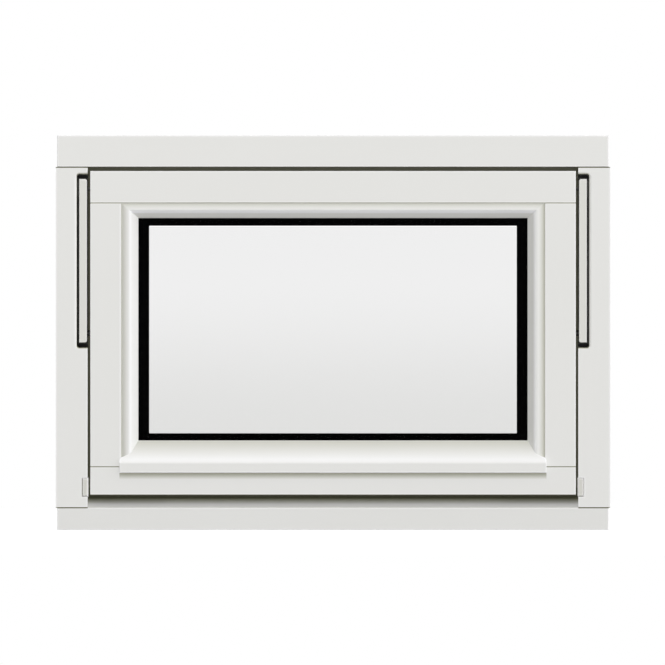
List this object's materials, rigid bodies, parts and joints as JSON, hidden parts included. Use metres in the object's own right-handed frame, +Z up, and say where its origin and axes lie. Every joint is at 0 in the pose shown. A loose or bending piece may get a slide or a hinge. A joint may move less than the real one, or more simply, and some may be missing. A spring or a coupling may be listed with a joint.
{
  "type": "pivot window",
  "caption": "Closed timber pivot window with a sealed double pane, moulded beads, sloping bottom bead and hinge arms in recesses of the jambs.",
  "frame": {"origin": "on the underside of the sill, in the middle of the frame's width and depth", "axes": "+X along the sill to the right as seen from outside, -Y to the outside, +Z up"},
  "size_m": [0.79, 0.124, 0.562],
  "materials": {
    "frame_paint": "satin white paint",
    "sash_paint": "satin white paint",
    "bead_paint": "satin white paint",
    "arm_paint": "satin white enamel",
    "steel": "zinc plated",
    "track": "black anodised",
    "pins": "blackened",
    "nylon": "moulded nylon",
    "glass": "clear float glass",
    "edge_seal": "black spacer and sealant",
    "seal": "black weather seal",
    "handle": "white enamel"
  },
  "bodies": {
    "root": {"bead_bottom": "bead_paint", "bead_left": "bead_paint", "bead_right": "bead_paint", "bead_top": "bead_paint", "frame_head": "frame_paint", "frame_jamb_left": "frame_paint", "frame_jamb_right": "frame_paint", "frame_pivot_pin_left": "pins", "frame_pivot_pin_right": "pins", "frame_seal_bottom": "seal", "frame_seal_left": "seal", "frame_seal_right": "seal", "frame_seal_top": "seal", "frame_sill": "frame_paint", "glass_inner_pane": "glass", "glass_outer_pane": "glass", "guide_block_left": "nylon", "guide_block_right": "nylon", "handle_lever": "handle", "handle_plate": "handle", "hinge_arm_left": "arm_paint", "hinge_arm_right": "arm_paint", "hinge_track_left": "track", "hinge_track_right": "track", "lock_strip": "steel", "sash_bottom_rail": "sash_paint", "sash_bracket_left": "pins", "sash_bracket_right": "pins", "sash_pivot_pin_left": "pins", "sash_pivot_pin_right": "pins", "sash_stile_left": "sash_paint", "sash_stile_right": "sash_paint", "sash_top_rail": "sash_paint", "slide_roller_left": "nylon", "slide_roller_right": "nylon", "spacer_bottom": "edge_seal", "spacer_left": "edge_seal", "spacer_right": "edge_seal", "spacer_top": "edge_seal"}
  },
  "joints": []
}
